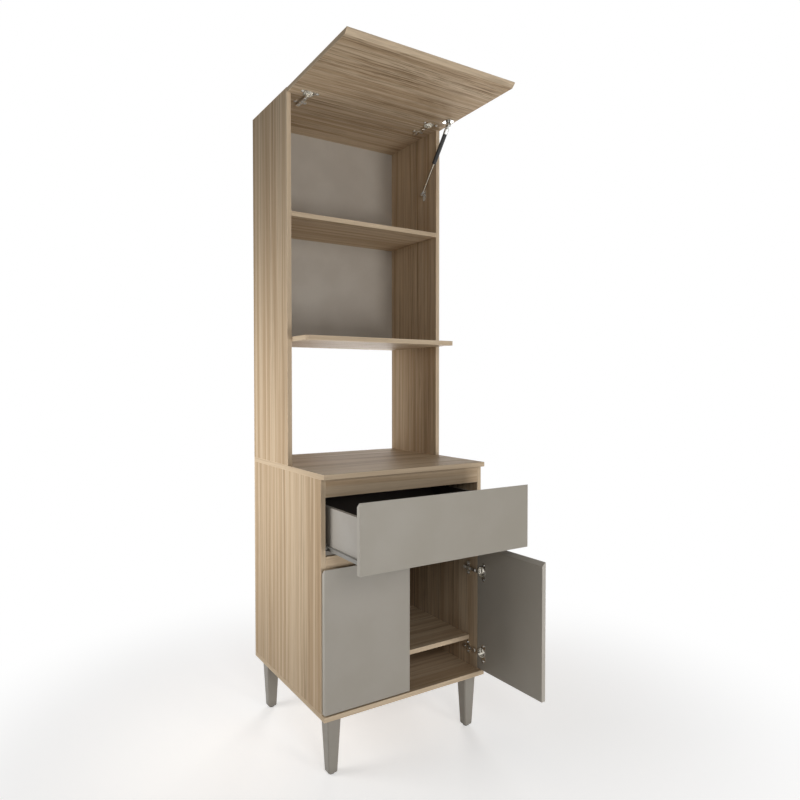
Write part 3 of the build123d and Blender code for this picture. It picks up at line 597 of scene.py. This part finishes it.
def turned(origin, normal, near, profile, count):
    """A turned shell: each (radius, height) pair of the profile goes once round the normal at the origin."""
    first, second, normal = seat_axes(normal, near)
    radius, height = np.asarray(profile, dtype=float).T
    ring = circle(first, second, count)[1]
    return np.asarray(origin) + radius[:, None, None] * ring[None] + height[:, None, None] * normal


# Screw heads, in shares of their radius and height
HEAD_RINGS = np.concatenate((np.linspace(0.02, 0.86, 15), np.array((0.93, 0.98, 1.0))))
HEAD_POINTS = 40
RIM_SHARE, DOME_SHARE = 0.35, 0.65
PIT_HALF, PIT_HALF_SOFT = 0.13, 0.018
PIT_REACH, PIT_REACH_SOFT = 0.62, 0.04
PIT_DEPTH = 0.75


def cross_head(origin, normal, near, radius=0.0036, height=0.0016):
    """A pan head with a cross recess.

    The height over (radius, angle) is a flattened dome, less a pit where the point is near either of two
    square centre lines and near the middle. The shell then goes straight down to the seat and back to the
    middle.
    """
    first, second, normal = seat_axes(normal, near)
    angle, ring = circle(first, second, HEAD_POINTS)
    spread, swing = np.meshgrid(HEAD_RINGS, angle, indexing="ij")
    dome = height * (RIM_SHARE + DOME_SHARE * np.sqrt(np.clip(1 - spread ** 2, 0, 1)))
    line_gap = np.minimum(np.abs(spread * np.cos(swing)), np.abs(spread * np.sin(swing)))
    near_line = 1 / (1 + np.exp((line_gap - PIT_HALF) / PIT_HALF_SOFT))
    near_middle = 1 / (1 + np.exp((spread - PIT_REACH) / PIT_REACH_SOFT))
    top = dome - PIT_DEPTH * height * near_line * near_middle
    crown = radius * spread[..., None] * ring[None] + top[..., None] * normal
    foot = radius * HEAD_RINGS[[-1, 0], None, None] * ring[None]
    return np.asarray(origin) + np.concatenate((crown, foot))[::-1]


def hinge_axes(kind, angle=0.0):
    """Axes of a hinge: along its front from the hinged edge, into the stand, and along the pin.

    The first axis turns about the pin by the opening angle; the second is the pin crossed with the first.
    """
    along, pin = {
        "left": ((1.0, 0.0, 0.0), (0.0, 0.0, 1.0)),
        "right": ((-1.0, 0.0, 0.0), (0.0, 0.0, -1.0)),
        "flap": ((0.0, 0.0, -1.0), (1.0, 0.0, 0.0)),
    }[kind]
    along, pin = np.array(along), np.array(pin)
    turn = -math.radians(angle)
    swung = along * math.cos(turn) + np.cross(pin, along) * math.sin(turn)
    return swung, np.cross(pin, swung), pin


# Sizes of the hinges, with places measured from the pin
PIVOT_DEPTH, CUP_CENTRE, WING_CENTRE, FLANGE = 0.0065, 0.013, 0.0245, 0.0008
PLATE_FACE, ARM_FACE, PLATE_MIDDLE = 0.009, 0.012, 0.054
WING_HALF, PLATE_HALF = 0.025, 0.016
COVER_START, COVER_END, COVER_SINK = 0.013, 0.079, 0.0002
COVER_STEPS, COVER_POINTS = 25, 28
COVER_WIDE, COVER_TALL = (0.0030, 0.0040), (0.0004, 0.0014)
TIP_SHARE = 0.02
ADJUSTER_SEAT, ADJUSTER_RADIUS, ADJUSTER_HEIGHT = 0.0014, 0.0034, 0.0012
RIM_POINTS = 48
rim_profile = [(0.0166, -0.0003), (0.0186, -0.0003), (0.0186, 0.0001), (0.0183, 0.0003), (0.0179, 0.0004),
               (0.0170, 0.0004), (0.0167, 0.0003), (0.0166, 0.0001), (0.0166, -0.0003)]


def arm_shell(origin, along, inward, pin):
    """The pressed shell over a hinge arm: an arched profile carried along the arm, smaller towards both ends.

    The profile is a superellipse of the fourth power. Its half width and half height are a least value and a
    share of a swell, which is the root of one less the sixth power of the way from the middle to an end. A
    small copy of the profile closes each end.
    """
    step = np.linspace(-1.0, 1.0, COVER_STEPS)
    swell = np.clip(1 - np.abs(step) ** 6, 0, 1) ** 0.5
    angle = np.linspace(0.0, FULL_TURN, COVER_POINTS, endpoint=False)
    wide, tall = (np.sign(wave) * np.abs(wave) ** 0.5 for wave in (np.cos(angle), np.sin(angle)))
    half_wide, half_tall = (least + more * swell for least, more in (COVER_WIDE, COVER_TALL))
    reach = (COVER_START + COVER_END) / 2 + step * (COVER_END - COVER_START) / 2
    middle = np.asarray(origin) + (ARM_FACE - COVER_SINK) * along + reach[:, None] * inward
    across = half_wide[:, None, None] * wide[None, :, None] * pin
    proud = half_tall[:, None, None] * tall[None, :, None] * along
    shell = middle[:, None, :] + across + proud
    ends = shell[[0, -1]]
    centres = ends.mean(axis=1, keepdims=True)
    tips = centres + TIP_SHARE * (ends - centres)
    return np.concatenate((tips[:1], shell, tips[1:]))


# Screw heads, cup rims and arm covers of the hinges
front_screws = {"left_door": [], "right_door": [], "flap": []}
cup_rims = {"left_door": [], "right_door": [], "flap": []}
plate_screws, arm_screws, arm_covers = [], [], []
for kind, pivot, angle, body in pivots.values():
    pivot = np.array(pivot)
    swung, inner = hinge_axes(kind, angle)[:2]
    still, inward, pin = hinge_axes(kind)
    flange_face = pivot + (PIVOT_DEPTH + FLANGE) * inner
    cup_rims[body].append(turned(flange_face + CUP_CENTRE * swung, inner, swung, rim_profile, RIM_POINTS))
    for side, skew in ((-1, 0.5), (1, 1.1)):
        wing = flange_face + WING_CENTRE * swung + side * WING_HALF * pin
        front_screws[body].append(cross_head(wing, inner, swung + skew * pin))
        plate = pivot + PLATE_FACE * still + PLATE_MIDDLE * inward + side * PLATE_HALF * pin
        plate_screws.append(cross_head(plate, still, inward + skew * pin))
    arm_covers.append(arm_shell(pivot, still, inward, pin))
    for reach, skew in ((0.040, 0.3), (0.066, 1.0)):
        seat = pivot + (ARM_FACE + ADJUSTER_SEAT) * still + reach * inward
        arm_screws.append(cross_head(seat, still, inward + skew * pin, ADJUSTER_RADIUS, ADJUSTER_HEIGHT))

for body, heads in front_screws.items():
    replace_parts(piece(f"{body}_cross_heads", heads, zinc, body), f"{body}_screws")
    piece(f"{body}_cup_rims", cup_rims[body], nickel, body)
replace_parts(piece("plate_cross_heads", plate_screws, zinc, "carcass"), "hinge_plate_screws")
piece("arm_adjusters", arm_screws, zinc, "carcass")
piece("arm_covers", arm_covers, nickel, "carcass")

# Shelf pins, turned with a collar
SIDE_FACE, PIN_RADIUS, PIN_DROP, PIN_POINTS = 0.285, 0.0025, 0.0045, 28
pin_low, pin_high = (np.array(corner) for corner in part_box("shelf_pins"))
shelf_low = np.array(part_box("inner_shelf")[0])
pin_profile = [(0.0001, -0.006), (0.0025, -0.006), (0.0025, 0.0), (0.0044, 0.0), (0.0044, 0.0012),
               (0.0025, 0.0015), (0.0025, 0.0074), (0.0020, 0.0079), (0.0001, 0.0080)]
pins = []
for side in (-1, 1):
    for pin_y in (pin_low[1] + PIN_RADIUS, pin_high[1] - PIN_RADIUS):
        seat = (side * SIDE_FACE, pin_y, shelf_low[2] - PIN_DROP)
        pins.append(turned(seat, (-side, 0.0, 0.0), (0.0, 1.0, 0.0), pin_profile, PIN_POINTS))
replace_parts(piece("shelf_studs", pins, zinc, "carcass"), "shelf_pins")

# Ferrule and gland of the gas strut, turned about its line from its upper pin
STRUT_POINTS = 40
joints = {joint["name"]: joint for joint in frame["joints"]}
strut_pin, strut_axis = np.array(joints["strut_pivot"]["pos_m"]), np.array(joints["strut_slide"]["axis"])
ferrule = [(0.0030, 0.0090), (0.0062, 0.0090), (0.0072, 0.0100), (0.0080, 0.0125), (0.0080, 0.0270),
           (0.0083, 0.0276), (0.0083, 0.0296), (0.0079, 0.0302), (0.00755, 0.0302), (0.00755, 0.0132),
           (0.0030, 0.0132)]
gland = [(0.0037, 0.1332), (0.0076, 0.1332), (0.0077, 0.1340), (0.0077, 0.1372), (0.0074, 0.1380),
         (0.0066, 0.1400), (0.0052, 0.1406), (0.0037, 0.1404), (0.0037, 0.1332)]
ferrule_shell, gland_shell = (turned(strut_pin, strut_axis, (1.0, 0.0, 0.0), profile, STRUT_POINTS)
                              for profile in (ferrule, gland))
piece("strut_ferrule", [ferrule_shell], zinc, "strut_cylinder")
piece("strut_gland", [gland_shell], enamel, "strut_cylinder")

# Floor, light and camera
FLOOR_HALF = 14.0
FLOOR_TONE = (0.86, 0.855, 0.85, 1.0)
FADE_START, FADE_END, NEAR_GLOW = 0.55, 1.7, 0.45
WINDOW_LIGHT, FILL_LIGHT = (1.0, 0.985, 0.965), (1.0, 0.99, 0.98)
SKY_LIGHT = 0.17
CAMERA_PLACE, CAMERA_DOWN, CAMERA_TURN = (-1.1226, -1.8361, 1.1666), 1.395, -32.656
LENS, SENSOR = 29.28, 36.0


def floor_finish():
    """Pale matt floor that keeps the shadow near the stand and runs out to plain white further off.

    Only the view of it is lifted, not its light: white grows with the distance from the stand.
    """
    material, tree, shader, at = finish("pale_floor")
    flat = work_out_vector(tree, "MULTIPLY", at["Object"], (1.0, 1.0, 0.0))
    far = add(tree, "ShaderNodeVectorMath", {0: flat}, operation="LENGTH").outputs["Value"]
    rays = tree.nodes.new("ShaderNodeLightPath").outputs
    seen = work_out(tree, "MAXIMUM", rays["Is Camera Ray"], rays["Is Glossy Ray"])
    fade = work_out(tree, "MULTIPLY", ramp(tree, far, FADE_START, FADE_END), seen)
    glow = work_out(tree, "MULTIPLY", seen, ramp(tree, far, FADE_START, FADE_END, start=NEAR_GLOW))
    plain = blend_color(tree, fade, FLOOR_TONE, BLACK)
    link_all(tree, shader.inputs, {"Base Color": plain, "Emission Strength": glow})
    shader.inputs["Roughness"].default_value = 0.9
    shader.inputs["Specular IOR Level"].default_value = 0.0
    shader.inputs["Emission Color"].default_value = WHITE
    return material


floor_mesh = bpy.data.meshes.new("floor")
floor_corners = [(FLOOR_HALF * x, FLOOR_HALF * y, 0.0) for x, y in ((-1, -1), (1, -1), (1, 1), (-1, 1))]
floor_mesh.from_pydata(floor_corners, [], [(0, 1, 2, 3)])
floor_mesh.materials.append(floor_finish())
floor = put_in_scene("floor", floor_mesh)


def soft_lamp(name, place, target, size, power, color, spread=180.0):
    """A square soft light that looks at a target, over an angle of spread in degrees."""
    data = bpy.data.lights.new(name, "AREA")
    data.size = size
    data.energy = power
    data.color = color
    data.spread = math.radians(spread)
    lamp = put_in_scene(name, data)
    axes = np.stack(seat_axes(np.array(place) - np.array(target), (1.0, 0.3, 0.0)), axis=1)
    lamp.location = place
    lamp.rotation_euler = Matrix(axes.tolist()).to_euler()
    lamp.visible_camera = False


soft_lamp("left_window", place=(-1.40, 0.48, 0.93), target=(-0.3, 0.14, 0.93), size=0.8, power=6.5,
          color=WINDOW_LIGHT, spread=125.0)
soft_lamp("front_fill", place=(0.80, -3.2, 0.45), target=(0.0, -0.15, 0.55), size=0.8, power=34.0,
          color=FILL_LIGHT)
soft_lamp("rear_fill", place=(1.5, 2.3, 0.85), target=(0.0, 0.3, 0.95), size=1.2, power=32.0,
          color=FILL_LIGHT)
soft_lamp("front_top", place=(-0.65, -2.5, 1.75), target=(0.0, 0.0, 1.3), size=0.8, power=14.0,
          color=FILL_LIGHT)

world = bpy.data.worlds.new("studio")
bpy.context.scene.world = world
world.use_nodes = True
sky = world.node_tree
sky.nodes.clear()
rays = sky.nodes.new("ShaderNodeLightPath").outputs
mirrored = work_out(sky, "MAXIMUM", rays["Is Glossy Ray"], rays["Is Transmission Ray"])
seen = work_out(sky, "MAXIMUM", rays["Is Camera Ray"], mirrored)
level = add(sky, "ShaderNodeMapRange", {0: seen, 3: SKY_LIGHT, 4: 1.0}).outputs[0]
backdrop = add(sky, "ShaderNodeBackground", {"Color": WHITE, "Strength": level})
link_all(sky, sky.nodes.new("ShaderNodeOutputWorld").inputs, {"Surface": backdrop.outputs[0]})

lens = bpy.data.cameras.new("camera")
lens.sensor_width = SENSOR
lens.lens = LENS
camera = put_in_scene("camera", lens)
camera.location = CAMERA_PLACE
camera.rotation_euler = (math.radians(90 - CAMERA_DOWN), 0.0, math.radians(CAMERA_TURN))
bpy.context.scene.camera = camera
bpy.context.scene.view_settings.view_transform = "Standard"
